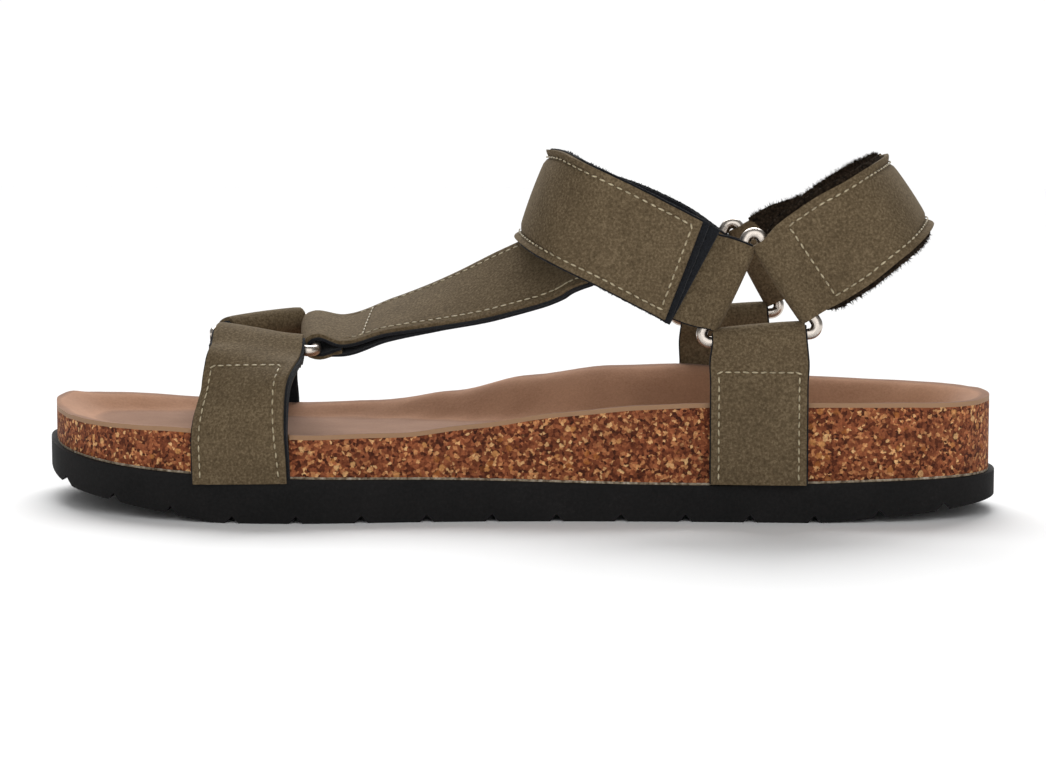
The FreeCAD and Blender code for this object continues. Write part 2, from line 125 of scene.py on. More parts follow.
class Band:
    """A strap's middle line, the direction of its width, and the way that its good side faces."""

    def __init__(self, rows, facing, step=STEP):
        flat = [tuple(point) + tuple(unit(across)) + (width,) for point, across, width in rows]
        self.along, smooth = smooth_rows(flat, step)
        self.centre = smooth[:, :3]
        tangent = np.gradient(self.centre, axis=0)
        self.tangent = tangent / np.linalg.norm(tangent, axis=1)[:, None]
        across = smooth[:, 3:6]
        across = across - self.tangent * np.sum(across * self.tangent, axis=1)[:, None]
        self.across = across / np.linalg.norm(across, axis=1)[:, None]
        normal = np.cross(self.across, self.tangent)
        sign = 1.0 if np.dot(normal[0], facing) > 0 else -1.0
        self.normal = normal * sign
        self.half = smooth[:, 6] / 2
        self.length = self.along[-1]

    def at(self, s, v, height=0.0):
        """A point s along, v across and some height above the band's middle."""
        s = np.clip(s, 0, self.length)
        parts = []
        for table in (self.centre, self.across, self.normal):
            parts.append(np.stack([np.interp(s, self.along, c) for c in table.T], axis=-1))
        centre, across, normal = parts
        return centre + across * np.asarray(v)[..., None] + normal * np.asarray(height)[..., None]

    def half_at(self, s):
        return np.interp(s, self.along, self.half)

    def trimmed(self, start):
        """The same band without its first few millimetres."""
        keep = self.along >= start
        for name in ("centre", "tangent", "across", "normal", "half", "along"):
            setattr(self, name, getattr(self, name)[keep])
        self.along = self.along - self.along[0]
        self.length = self.along[-1]
        return self

    def nearest(self, point, after=0.0):
        """How far along the band its middle line comes closest to a point."""
        gaps = np.linalg.norm(self.centre - np.asarray(point, float), axis=1)
        gaps[self.along < after] = 1e9
        return float(self.along[int(np.argmin(gaps))])


def arc_rows(middle, across, toward, normal, radius, angles, width):
    """Rows round a bar: angle 0 is on the side of the normal, and 90 over the bar."""
    rows = []
    for angle in np.radians(angles):
        rows.append((middle + radius * (normal * math.cos(angle) + toward * math.sin(angle)),
                     across, width))
    return rows


def around_bar(spine, bar, lift, radius, back, shift=0.0, slide=0.0, first=8):
    """Rows of a strap that goes up its spine, round the bar and back down behind itself.

    It comes back over the last few places of its spine, slides along the bar, and meets the bar at
    the first angle.
    """
    point, across, normal, _ = spine[-1]
    bar_across = unit(bar[1] - bar[0])
    if np.dot(bar_across, across) < 0:
        bar_across = -bar_across
    middle = (bar[0] + bar[1]) / 2 + bar_across * slide
    toward = middle - (point + normal * shift)
    toward = unit(toward - bar_across * np.dot(toward, bar_across))
    normal = normal - bar_across * np.dot(normal, bar_across)
    normal = unit(normal - toward * np.dot(normal, toward))
    rows = [(p + n * (shift + lift), a, w) for p, a, n, w in spine]
    rows += arc_rows(middle, bar_across, toward, normal, radius, (first, *BAR_ANGLES), NARROW)
    rows += [(p + n * (shift - lift), a, w) for p, a, n, w in spine[::-1][:back]]
    return rows


def square(frames):
    """Frames (point, across, normal, width) with each normal turned square to its width."""
    result = []
    for frame_row in frames:
        point, across, normal = (np.asarray(part, float) for part in frame_row[:3])
        across = unit(across)
        normal = unit(normal - across * np.dot(normal, across))
        result.append((point, across, normal, frame_row[3] if len(frame_row) > 3 else WIDTH))
    return result


# ---- mesh helpers ----------------------------------------------------------------------------------
def apply_modifier(piece, name, kind, **settings):
    modifier = piece.modifiers.new(name, kind)
    for key, value in settings.items():
        setattr(modifier, key, value)
    bpy.context.view_layer.objects.active = piece
    bpy.ops.object.modifier_apply(modifier=modifier.name)


def finish(piece, name, material, angle=40):
    piece.name = name
    piece.data.name = name
    piece.data.materials.clear()
    piece.data.materials.append(material)
    bpy.ops.object.select_all(action="DESELECT")
    piece.select_set(True)
    bpy.context.view_layer.objects.active = piece
    bpy.ops.object.shade_smooth_by_angle(angle=math.radians(angle))
    return piece


def columns(half, edge_groove):
    """Places across a strap, close together at its edges and at its stitch grooves."""
    near = [0, 0.35, 0.8, 1.4] + [edge_groove + d for d in (-0.45, -0.2, 0, 0.2, 0.45, 0.9)]
    near = sorted(set(round(d, 3) for d in near))
    middle = np.linspace(near[-1] + 1.2, 2 * half - near[-1] - 1.2, 12)
    return np.array(near + list(middle) + [2 * half - d for d in near[::-1]]) - half


def strap_layer(name, band, thickness, material, crown=CROWN, groove=STITCH_INSET,
                depth=0.22, widen=0.0, flare=None, bevel=0.22, seams=(), sewn=None, slant=0.0):
    """A strap layer: a grid laid along the band, crowned and grooved, then given its thickness.

    Seams are cross grooves at these lengths. The edge grooves run only where it is sewn. A flare is
    (start, end, height) of turned-out lips. A slant cuts the first end at an angle.
    """
    places = columns(WIDTH / 2, groove) / (WIDTH / 2)
    bpy.ops.object.select_all(action="DESELECT")
    bpy.ops.mesh.primitive_grid_add(x_subdivisions=len(band.along) - 1,
                                    y_subdivisions=len(places) - 1, size=2)
    piece = bpy.context.object
    count = len(piece.data.vertices)
    co = np.zeros(count * 3)
    piece.data.vertices.foreach_get("co", co)
    co = co.reshape(-1, 3)
    s = (co[:, 0] + 1) / 2 * band.length
    share = np.interp((co[:, 1] + 1) / 2 * (len(places) - 1), np.arange(len(places)), places)
    s = s + slant * (share + 1) / 2 * np.clip(1 - s / SLANT_RUN, 0, 1)
    half = band.half_at(s) + widen
    v = share * half
    from_edge = half - np.abs(v)
    height = crown * (1 - (v / half) ** 2)
    if depth:
        low, high = sewn or (-9, band.length + 9)
        shown = np.clip((s - low + 1) / 2, 0, 1) * np.clip((high + 1 - s) / 2, 0, 1)
        height = height - depth * shown * np.exp(-((from_edge - groove) / 0.35) ** 2)
        height = height - EDGE_DROP * crown * np.exp(-(from_edge / 0.8) ** 2)
    for seam in seams:
        inside = np.clip((from_edge - groove) / 0.5 + 0.5, 0, 1)
        height = height - SEAM_DEPTH * inside * np.exp(-((s - seam) / 0.7) ** 2)
    if flare:
        low, high, amount = flare
        window = np.clip((s - low) / FLARE_RUN, 0, 1) * np.clip((high - s) / FLARE_RUN, 0, 1)
        window = window * window * (3 - 2 * window)
        lip = np.exp(-(from_edge / 1.1) ** 2) - 0.75 * np.exp(-((from_edge - groove) / 1.1) ** 2)
        height = height + amount * window * (lip + 0.3 * (1 - (v / half) ** 2))
    piece.data.vertices.foreach_set("co", (band.at(s, v, height) * MM).ravel())
    piece.data.update()
    apply_modifier(piece, "thickness", "SOLIDIFY", thickness=thickness * MM, offset=0.0,
                   use_even_offset=False)
    apply_modifier(piece, "edges", "BEVEL", width=bevel * MM, segments=2, limit_method="ANGLE",
                   angle_limit=math.radians(60))
    bpy.ops.object.select_all(action="DESELECT")
    piece.select_set(True)
    bpy.ops.object.mode_set(mode="EDIT")
    bpy.ops.mesh.select_all(action="SELECT")
    bpy.ops.mesh.normals_make_consistent(inside=False)
    bpy.ops.object.mode_set(mode="OBJECT")
    return finish(piece, name, material)


def roughen(piece, size, strength):
    """Pushes a layer's surface in and out, for pile and fuzz."""
    apply_modifier(piece, "fine", "SUBSURF", levels=1, render_levels=1,
                   subdivision_type="SIMPLE")
    texture = bpy.data.textures.new(piece.name + "_pile", "CLOUDS")
    texture.noise_scale = size * MM
    texture.noise_depth = 2
    apply_modifier(piece, "pile", "DISPLACE", texture=texture, texture_coords="LOCAL",
                   strength=strength * MM, mid_level=0.45)


def stitch_shape():
    """The points and faces of one thread bead, which each stitch copies flattened and lengthened.

    The faces are sorted, because the sphere lists them in a different order on each run.
    """
    bpy.ops.object.select_all(action="DESELECT")
    bpy.ops.mesh.primitive_uv_sphere_add(segments=8, ring_count=5, radius=1.0)
    bead = bpy.context.object
    points = np.array([v.co for v in bead.data.vertices])
    faces = sorted(tuple(p.vertices) for p in bead.data.polygons)
    bpy.data.objects.remove(bead)
    return points, faces


STITCH_POINTS, STITCH_FACES = stitch_shape()


def stitches(name, band, lines):
    """Threads laid along lines of (s, v) points on a band, on its crowned surface."""
    vertices, faces = [], []
    for line in lines:
        line = np.asarray(line, float)
        gaps = np.linalg.norm(np.diff(line, axis=0), axis=1)
        t = np.concatenate([[0], np.cumsum(gaps)])
        places = np.linspace(0, t[-1], max(2, int(round(t[-1] / STITCH_PITCH)) + 1))
        places = (places[1:] + places[:-1]) / 2
        for place in places:
            ends = [np.array([np.interp(place + d, t, c) for c in line.T]) for d in (-0.5, 0.5)]
            s, v = np.mean(ends, axis=0)
            over = STITCH_HEIGHT + CROWN * (1 - (v / float(band.half_at(s))) ** 2)
            low, high = (band.at(e[0], e[1], over) for e in ends)
            middle = band.at(s, v, over)
            up = unit(band.at(s, v, over + 1) - middle)
            ahead = unit(high - low + up * 0.02)
            side = np.cross(up, ahead)
            ahead = unit(ahead + side * rng.normal(0, 0.07))
            side = np.cross(up, ahead)
            size = STITCH_LENGTH * rng.uniform(0.9, 1.06)
            axes = np.stack([side * STITCH_WIDTH / 2, up * STITCH_WIDTH * STITCH_FLATNESS,
                             ahead * size / 2])
            base = len(vertices)
            vertices.extend((STITCH_POINTS @ axes + middle) * MM)
            faces.extend(tuple(i + base for i in face) for face in STITCH_FACES)
    mesh = bpy.data.meshes.new(name)
    mesh.from_pydata([tuple(v) for v in vertices], [], faces)
    piece = bpy.data.objects.new(name, mesh)
    bpy.context.scene.collection.objects.link(piece)
    bpy.ops.object.select_all(action="DESELECT")
    piece.select_set(True)
    bpy.context.view_layer.objects.active = piece
    bpy.ops.object.mode_set(mode="EDIT")
    bpy.ops.mesh.select_all(action="SELECT")
    bpy.ops.mesh.normals_make_consistent(inside=False)
    bpy.ops.object.mode_set(mode="OBJECT")
    return finish(piece, name, THREAD, 80)


def fibres(name, band, count, lengths, material, spread=0.5):
    """Loose fibres along both edges of a lining: slim three-sided spikes that lean outwards.

    They are drawn 0.2 to 0.3 mm thick, coarser than real pile, so that they show.
    """
    vertices, faces = [], []
    for _ in range(count):
        s = rng.uniform(0.5, band.length - 0.5)
        sign = rng.choice((-1.0, 1.0))
        edge = float(band.half_at(s)) - rng.uniform(0.0, 0.5)
        root = band.at(s, sign * edge, rng.uniform(-spread, spread))
        out = unit(band.at(s, sign * (edge + 1), 0) - band.at(s, sign * edge, 0))
        lean = unit(out + rng.normal(0, 0.55, 3))
        side = unit(np.cross(lean, (0.3, 0.2, 1)))
        up = np.cross(side, lean)
        radius = rng.uniform(0.09, 0.16)
        base = len(vertices)
        for angle in (0, 2.1, 4.2):
            vertices.append((root + radius * (side * math.cos(angle) + up * math.sin(angle))) * MM)
        vertices.append((root + lean * rng.uniform(*lengths)) * MM)
        faces.extend([(base, base + 2, base + 1), (base, base + 1, base + 3),
                      (base + 1, base + 2, base + 3), (base + 2, base, base + 3)])
    mesh = bpy.data.meshes.new(name)
    mesh.from_pydata([tuple(v) for v in vertices], [], faces)
    piece = bpy.data.objects.new(name, mesh)
    bpy.context.scene.collection.objects.link(piece)
    return finish(piece, name, material, 30)


# ---- materials -------------------------------------------------------------------------------------
def linear(hex_colour):
    """An sRGB hex value as a linear colour."""
    values = [int(hex_colour[i:i + 2], 16) / 255 for i in (1, 3, 5)]
    values = [v / 12.92 if v <= 0.04045 else ((v + 0.055) / 1.055) ** 2.4 for v in values]
    return (*values, 1.0)


def add(tree, kind, inputs=None, **settings):
    """Adds a node with its settings, input values and links."""
    node = tree.nodes.new(kind)
    for key, value in settings.items():
        setattr(node, key, value)
    for key, value in (inputs or {}).items():
        if isinstance(value, bpy.types.NodeSocket):
            tree.links.new(value, node.inputs[key])
        else:
            node.inputs[key].default_value = value
    return node


def start_material(name):
    material = bpy.data.materials.new(name)
    material.use_nodes = True
    tree = material.node_tree
    tree.nodes.clear()
    place = add(tree, "ShaderNodeTexCoord").outputs["Object"]
    return material, tree, place


def ramp(tree, value, stops):
    """A colour ramp whose stops are hex colours or grey levels."""
    node = add(tree, "ShaderNodeValToRGB", {"Fac": value})
    while len(node.color_ramp.elements) < len(stops):
        node.color_ramp.elements.new(0.5)
    for element, (place, colour) in zip(node.color_ramp.elements, stops):
        element.position = place
        element.color = linear(colour) if isinstance(colour, str) else (colour,) * 3 + (1,)
    return node.outputs["Color"]


def end_material(tree, **inputs):
    shader = add(tree, "ShaderNodeBsdfPrincipled", inputs)
    add(tree, "ShaderNodeOutputMaterial", {"Surface": shader.outputs["BSDF"]})


def nubuck():
    """Sanded cowhide dyed olive: a dry, matte nap that catches light softly, faintly mottled."""
    material, tree, place = start_material("olive_nubuck_leather")
    nap = add(tree, "ShaderNodeTexNoise", {"Vector": place, "Scale": 1500.0, "Detail": 4.0,
                                           "Roughness": 0.65}).outputs["Fac"]
    mottle = add(tree, "ShaderNodeTexNoise", {"Vector": place, "Scale": 95.0, "Detail": 3.0,
                                              "Roughness": 0.55}).outputs["Fac"]
    tone = add(tree, "ShaderNodeMix", {"Factor": 0.16, "A": nap, "B": mottle}).outputs["Result"]
    colour = ramp(tree, tone, [(0.34, "#493D2C"), (0.5, "#5E503C"), (0.66, "#75664F")])
    grain = add(tree, "ShaderNodeTexNoise", {"Vector": place, "Scale": 2600.0, "Detail": 3.0})
    bump = add(tree, "ShaderNodeBump", {"Height": grain.outputs["Fac"], "Strength": 0.35,
                                        "Distance": 0.00035})
    end_material(tree, **{"Base Color": colour, "Roughness": 0.93, "Normal": bump.outputs["Normal"],
                          "Sheen Weight": 0.12, "Sheen Roughness": 0.45,
                          "Sheen Tint": linear("#B9A88C"), "Specular IOR Level": 0.12})
    return material


def black_lining():
    """Brushed loop fabric, blue-black, that drinks light and shows a little fibre."""
    material, tree, place = start_material("black_brushed_lining")
    fibre = add(tree, "ShaderNodeTexNoise", {"Vector": place, "Scale": 1900.0, "Detail": 5.0,
                                             "Roughness": 0.8}).outputs["Fac"]
    colour = ramp(tree, fibre, [(0.35, "#0C0D10"), (0.6, "#1B1D22"), (0.8, "#32343B")])
    bump = add(tree, "ShaderNodeBump", {"Height": fibre, "Strength": 0.8, "Distance": 0.0005})
    end_material(tree, **{"Base Color": colour, "Roughness": 0.97, "Normal": bump.outputs["Normal"],
                          "Sheen Weight": 0.1, "Sheen Roughness": 0.6,
                          "Specular IOR Level": 0.08})
    return material


def pile_lining():
    """Loop pile, dark brown-grey: soft tufts with painted light on their tips and painted shade in
    the gaps between them.
    """
    material, tree, place = start_material("dark_loop_pile")
    tuft_height_and_shade = add(tree, "ShaderNodeTexVoronoi", {"Vector": place, "Scale": 1100.0,
                                              "Randomness": 1.0}).outputs["Distance"]
    fibre = add(tree, "ShaderNodeTexNoise", {"Vector": place, "Scale": 2400.0, "Detail": 4.0,
                                             "Roughness": 0.8}).outputs["Fac"]
    tone = add(tree, "ShaderNodeMix", {"Factor": 0.55, "A": tuft_height_and_shade, "B": fibre}).outputs["Result"]
    # painted light and shade: lighter at the middle of each tuft and darker in the gaps between
    # tufts, following the same height that drives the bump
    colour = ramp(tree, tone, [(0.2, "#4B3F36"), (0.45, "#31281F"), (0.7, "#15110E")])
    bump = add(tree, "ShaderNodeBump", {"Height": tone, "Strength": 1.0, "Distance": 0.0009},
               invert=True)
    end_material(tree, **{"Base Color": colour, "Roughness": 1.0, "Normal": bump.outputs["Normal"],
                          "Sheen Weight": 0.1, "Sheen Roughness": 0.5,
                          "Sheen Tint": linear("#8A7868"), "Specular IOR Level": 0.05})
    return material


def hook_tape():
    """Nylon hook tape: black, a little glossy, with rows of small hooks 1.2 mm apart, painted lighter
    on each hook and darker between them as painted light and shade.
    """
    material, tree, place = start_material("black_nylon_hook_tape")
    rows = add(tree, "ShaderNodeTexVoronoi", {"Vector": place, "Scale": 850.0,
                                              "Randomness": 0.25}).outputs["Distance"]
    # painted highlight and shade: lighter at each hook's middle and darker in the gaps, following the
    # bump's height
    colour = ramp(tree, rows, [(0.1, "#2A2A2C"), (0.6, "#0B0B0C")])
    bump = add(tree, "ShaderNodeBump", {"Height": rows, "Strength": 1.0, "Distance": 0.0006},
               invert=True)
    end_material(tree, **{"Base Color": colour, "Roughness": 0.5,
                          "Normal": bump.outputs["Normal"]})
    return material


def thread():
    """Waxed polyester thread, beige, with a soft shine across its twist."""
    material, tree, place = start_material("beige_polyester_thread")
    twist = add(tree, "ShaderNodeTexNoise", {"Vector": place, "Scale": 900.0,
                                             "Detail": 2.0}).outputs["Fac"]
    colour = ramp(tree, twist, [(0.35, "#8F8266"), (0.65, "#B9AB8B")])
    end_material(tree, **{"Base Color": colour, "Roughness": 0.6, "Sheen Weight": 0.2})
    return material


def cork():
    """Granulated cork bound with latex: fine red-brown crumbs with a few tan grains 2 mm across."""
    material, tree, place = start_material("granulated_cork")
    wobble = add(tree, "ShaderNodeTexNoise", {"Vector": place, "Scale": 700.0, "Detail": 4.0,
                                              "Roughness": 0.7})
    shift = add(tree, "ShaderNodeVectorMath", {0: wobble.outputs["Color"], 1: (0.5, 0.5, 0.5)},
                operation="SUBTRACT")
    small = add(tree, "ShaderNodeVectorMath", {0: shift.outputs["Vector"], "Scale": 0.0017},
                operation="SCALE")
    moved = add(tree, "ShaderNodeVectorMath", {0: place, 1: small.outputs["Vector"]},
                operation="ADD").outputs["Vector"]
    crumb = add(tree, "ShaderNodeTexVoronoi", {"Vector": moved, "Scale": 1250.0})
    pick = add(tree, "ShaderNodeSeparateColor", {"Color": crumb.outputs["Color"]}).outputs["Red"]
    crumbs = ramp(tree, pick, [(0.0, "#3C1A0D"), (0.25, "#65321D"), (0.55, "#86492D"),
                               (0.8, "#A3603D"), (0.93, "#C98C59"), (1.0, "#E6B87F")])
    grain = add(tree, "ShaderNodeTexVoronoi", {"Vector": moved, "Scale": 430.0})
    choice = add(tree, "ShaderNodeSeparateColor", {"Color": grain.outputs["Color"]})
    chosen = ramp(tree, choice.outputs["Green"], [(0.80, 0.0), (0.84, 1.0)])
    core = ramp(tree, grain.outputs["Distance"], [(0.30, 1.0), (0.42, 0.0)])
    mask = add(tree, "ShaderNodeMath", {0: chosen, 1: core}, operation="MULTIPLY")
    faded = add(tree, "ShaderNodeMath", {0: mask.outputs["Value"], 1: 0.75},
                operation="MULTIPLY").outputs["Value"]
    tan = ramp(tree, choice.outputs["Red"], [(0.2, "#A05E2D"), (0.6, "#C98B4F"), (0.95, "#E4B67D")])
    mixed = add(tree, "ShaderNodeMix", {"Factor": faded, "A": crumbs, "B": tan},
                data_type="RGBA").outputs["Result"]
    dust = add(tree, "ShaderNodeTexNoise", {"Vector": place, "Scale": 1700.0, "Detail": 5.0,
                                            "Roughness": 0.75}).outputs["Fac"]
    speck = ramp(tree, dust, [(0.32, 0.5), (0.5, 0.95), (0.72, 1.35)])
    broad = add(tree, "ShaderNodeTexNoise", {"Vector": place, "Scale": 130.0,
                                             "Detail": 3.0}).outputs["Fac"]
    patch = ramp(tree, broad, [(0.35, 0.85), (0.65, 1.12)])
    speckled = add(tree, "ShaderNodeMix", {"Factor": 0.8, "A": mixed, "B": speck},
                   data_type="RGBA", blend_type="MULTIPLY").outputs["Result"]
    colour = add(tree, "ShaderNodeMix", {"Factor": 1.0, "A": speckled, "B": patch},
                 data_type="RGBA", blend_type="MULTIPLY").outputs["Result"]
    relief = add(tree, "ShaderNodeMath", {0: crumb.outputs["Distance"], 1: dust},
                 operation="ADD").outputs["Value"]
    bump = add(tree, "ShaderNodeBump", {"Height": relief, "Strength": 0.6, "Distance": 0.0004})
    end_material(tree, **{"Base Color": colour, "Roughness": 0.8,
                          "Normal": bump.outputs["Normal"], "Specular IOR Level": 0.2})
    return material


def footbed_suede():
    """Microfibre suede on the footbed: sandy, matte, with a paler raw edge at the rim, painted
    lighter on its walls and darker on its upward floor as painted light and shade.
    """
    material, tree, place = start_material("sand_footbed_suede")
    fibre = add(tree, "ShaderNodeTexNoise", {"Vector": place, "Scale": 1400.0, "Detail": 5.0,
                                             "Roughness": 0.75}).outputs["Fac"]
    brush = add(tree, "ShaderNodeTexNoise", {"Vector": place, "Scale": 60.0, "Detail": 4.0,
                                             "Roughness": 0.6}).outputs["Fac"]
    tone = add(tree, "ShaderNodeMix", {"Factor": 0.45, "A": fibre, "B": brush}).outputs["Result"]
    # painted light and shade: the sloped walls take a lighter tone and the upward-facing floor a
    # darker one, chosen by how far each face points up
    wall_tone_painted_light = ramp(tree, tone, [(0.35, "#9F755A"), (0.65, "#B98C6E")])
    floor_tone_painted_shade = ramp(tree, tone, [(0.35, "#815D46"), (0.65, "#98735B")])
    facing = add(tree, "ShaderNodeSeparateXYZ",
                 {"Vector": add(tree, "ShaderNodeNewGeometry").outputs["Normal"]}).outputs["Z"]
    floor_shade_mask = ramp(tree, facing, [(0.95, 0.0), (0.995, 1.0)])
    suede_lit_and_shaded = add(tree, "ShaderNodeMix", {"Factor": floor_shade_mask, "A": wall_tone_painted_light, "B": floor_tone_painted_shade},
              data_type="RGBA").outputs["Result"]
    side = ramp(tree, facing, [(0.1, 1.0), (0.3, 0.0)])
    colour = add(tree, "ShaderNodeMix", {"Factor": side, "A": suede_lit_and_shaded, "B": linear("#9C7B5F")},
                 data_type="RGBA").outputs["Result"]
    bump = add(tree, "ShaderNodeBump", {"Height": fibre, "Strength": 0.4, "Distance": 0.0003})
    end_material(tree, **{"Base Color": colour, "Roughness": 0.95,
                          "Normal": bump.outputs["Normal"], "Sheen Weight": 0.12,
                          "Sheen Roughness": 0.5, "Specular IOR Level": 0.12})
    return material


def jute():
    """Jute backing cloth with dried white latex: pale, fibrous, 1 mm weave."""
    material, tree, place = start_material("jute_backing_cloth")
    weave = add(tree, "ShaderNodeTexNoise", {"Vector": place, "Scale": 1000.0,
                                             "Detail": 4.0}).outputs["Fac"]
    colour = ramp(tree, weave, [(0.35, "#5B4A38"), (0.6, "#A89A84"), (0.75, "#D8D0C2")])
    end_material(tree, **{"Base Color": colour, "Roughness": 0.9})
    return material


def eva_foam():
    """Moulded EVA foam, near-black: faintly satin skin with fine mould grain and scuffs."""
    material, tree, place = start_material("black_eva_foam")
    grain = add(tree, "ShaderNodeTexNoise", {"Vector": place, "Scale": 1200.0, "Detail": 4.0,
                                             "Roughness": 0.7}).outputs["Fac"]
    cloud = add(tree, "ShaderNodeTexNoise", {"Vector": place, "Scale": 70.0,
                                             "Detail": 4.0}).outputs["Fac"]
    tone = add(tree, "ShaderNodeMix", {"Factor": 0.5, "A": grain, "B": cloud}).outputs["Result"]
    colour = ramp(tree, tone, [(0.35, "#111111"), (0.6, "#1E1D1D"), (0.8, "#2D2B2B")])
    rough = ramp(tree, cloud, [(0.35, 0.7), (0.7, 0.85)])
    bump = add(tree, "ShaderNodeBump", {"Height": grain, "Strength": 0.3, "Distance": 0.0003})
    end_material(tree, **{"Base Color": colour, "Roughness": rough,
                          "Normal": bump.outputs["Normal"], "Specular IOR Level": 0.12})
    return material


def nickel():
    """Nickel-plated steel wire, tumbled: bright, warm grey, with soft highlights."""
    material, tree, place = start_material("brushed_nickel_wire")
    scratch = add(tree, "ShaderNodeTexNoise", {"Vector": place, "Scale": 2200.0,
                                               "Detail": 2.0}).outputs["Fac"]
    rough = ramp(tree, scratch, [(0.3, 0.22), (0.7, 0.36)])
    end_material(tree, **{"Base Color": linear("#C9C0B6"), "Metallic": 1.0, "Roughness": rough})
    return material


NUBUCK, LINING, PILE, HOOKS, THREAD = nubuck(), black_lining(), pile_lining(), hook_tape(), thread()


def dress_cad_nodes():
    """The carried-over CAD pieces keep their shape and take their real finish."""
    finishes = {"outsole": eva_foam(), "cork_body": cork(), "jute_backing": jute(),
                "footbed_liner": footbed_suede()}
    wire = nickel()
    finishes.update({name: wire for name in ("lateral_ring", "medial_ring", "front_ring")})
    for name, material in finishes.items():
        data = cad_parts[name].data
        data.materials.clear()
        data.materials.append(material)


# ---- straps ----------------------------------------------------------------------------------------
def bar(ring, first, second):
    """The two ends of one side of a ring."""
    return ring[first], ring[second]


def doubled_strap(name, nodes, spine, ring_bar, seam=None, widen=0.45):
    """A strap of two nubuck legs with two layers of lining between, folded round a bar."""
    back = len(spine)
    outside = spine[0][2]
    outer = Band(around_bar(spine, ring_bar, SKIN_LIFT, SKIN_RADIUS, back), outside)
    inner = Band(around_bar(spine, ring_bar, FELT_LIFT, FELT_RADIUS, back), outside)
    seams = () if seam is None else (outer.nearest(seam),)
    skin = strap_layer(name + "_nubuck", outer, SKIN, NUBUCK, seams=seams,
                       sewn=(0, seams[0]) if seams else (0, 0))
    felt = strap_layer(name + "_felt", inner, FELT, LINING, crown=0, depth=0,
                       widen=widen)
    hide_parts(nodes[0])
    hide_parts(nodes[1])
    for piece in (skin, felt):
        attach(piece, "root")
    return outer


def inner_cover(spine, ring_bar, near=1):
    """Rows of the lining that hides a single strap's folded-back end, up to the bar."""
    rows = []
    for place, (point, across, normal, width) in enumerate(spine):
        from_end = len(spine) - 1 - place
        deep = float(np.interp(from_end, (near - 1, near + 1), (3.15, 1.25)))
        rows.append((point - normal * deep, across, width))
    point, across, normal, width = spine[-1]
    middle = (ring_bar[0] + ring_bar[1]) / 2
    toward = middle - point
    toward = toward - normal * np.dot(toward, normal)
    reach = max(np.linalg.norm(toward) - 3.2, 0.5)
    rows.append((point - normal * 3.0 + unit(toward) * reach, across, min(width, 23.5)))
    return rows


def single_strap(name, nodes, spine, ring_bar, flare=None, seams=(), fuzz=0.0, skin_trim=0.0,
                 sewn=(0, 0), slide=0.0, first=8, slant=0.0):
    """One nubuck layer with its lining, folded round a bar and sewn down behind."""
    outside = spine[0][2]
    outer = Band(around_bar(spine, ring_bar, SKIN_LIFT, SKIN_RADIUS, 1, SINGLE_SHIFT, slide,
                            first), outside)
    if skin_trim:
        outer = outer.trimmed(skin_trim)
    inner = Band(around_bar(spine, ring_bar, FELT_LIFT, FELT_RADIUS, 1, SINGLE_SHIFT, slide,
                            first), outside)
    cover = Band(inner_cover(spine, ring_bar), outside)
    skin = strap_layer(name + "_nubuck", outer, SKIN, NUBUCK, flare=flare,
                       seams=[outer.nearest(point) for point in seams], sewn=sewn, slant=slant)
    felt = strap_layer(name + "_felt", inner, FELT, LINING, crown=0, depth=0,
                       widen=0.55, flare=flare, slant=slant)
    lining = strap_layer(name + "_inner_felt", cover, INNER_FELT, LINING,
                         crown=0, depth=0, widen=0.3, flare=flare)
    if fuzz:
        roughen(felt, 0.7, fuzz)
    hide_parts(nodes[0])
    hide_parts(nodes[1])
    return outer, skin, felt, lining


def edge_line(band, start, end, sign, inset=STITCH_INSET, lean=0.0):
    """A line of (s, v) points along one edge of a band, leaning inwards towards its end."""
    places = np.linspace(start, end, max(2, int(abs(end - start) / 2)))
    return [(s, sign * (float(band.half_at(s)) - inset - lean * (s - start) / (end - start)))
            for s in places]


def u_stitch(name, band, start, end, body="root", lean=0.0):
    """Stitches up one edge, across, and down the other edge."""
    left = edge_line(band, start, end, -1)
    right = edge_line(band, start, end, 1, lean=lean)
    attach(stitches(name, band, [left + right[::-1]]), body)


def front_strap():
    """From the outer side of the sole up over the toes to the front ring, doubled."""
    spine = square([((-67.2, -47.0, 10.5), (1, -0.02, 0), (0, -1, 0)),
                    ((-67.3, -47.3, 16), (1, -0.05, 0), (0, -1, 0)),
                    ((-67.5, -47.2, 23), (1, -0.12, 0), (-0.1, -1, 0.06)),
                    ((-67.0, -45.4, 30), (1, -0.28, 0), (-0.25, -1, 0.35)),
                    ((-66.4, -41.8, 36), (1, -0.5, -0.15), (-0.35, -1, 0.85), 24.6),
                    ((-66.0, -36.2, 40.4), (1, -0.5, -0.25), (-0.1, -0.7, 1), 24.2),
                    ((-66.0, -29.4, 43.2), (1, -0.36, -0.2), (0, -0.4, 1), 24.2)])
    seam = (-65.2, -38.5, 40.6)
    # widen=0.6 lets the black lining show past the nubuck's edges: partly the lining's own edge,
    # partly a dark band standing in for the shade beside the strap
    band = doubled_strap("front_lateral_strap", ("front_lateral_strap",
                         "front_lateral_strap_lining"), spine, bar(RING_FRONT, 0, 1), seam=seam,
                         widen=0.6)
    u_stitch("front_lateral_strap_stitching", band, 1.5, band.nearest(seam), lean=1.4)


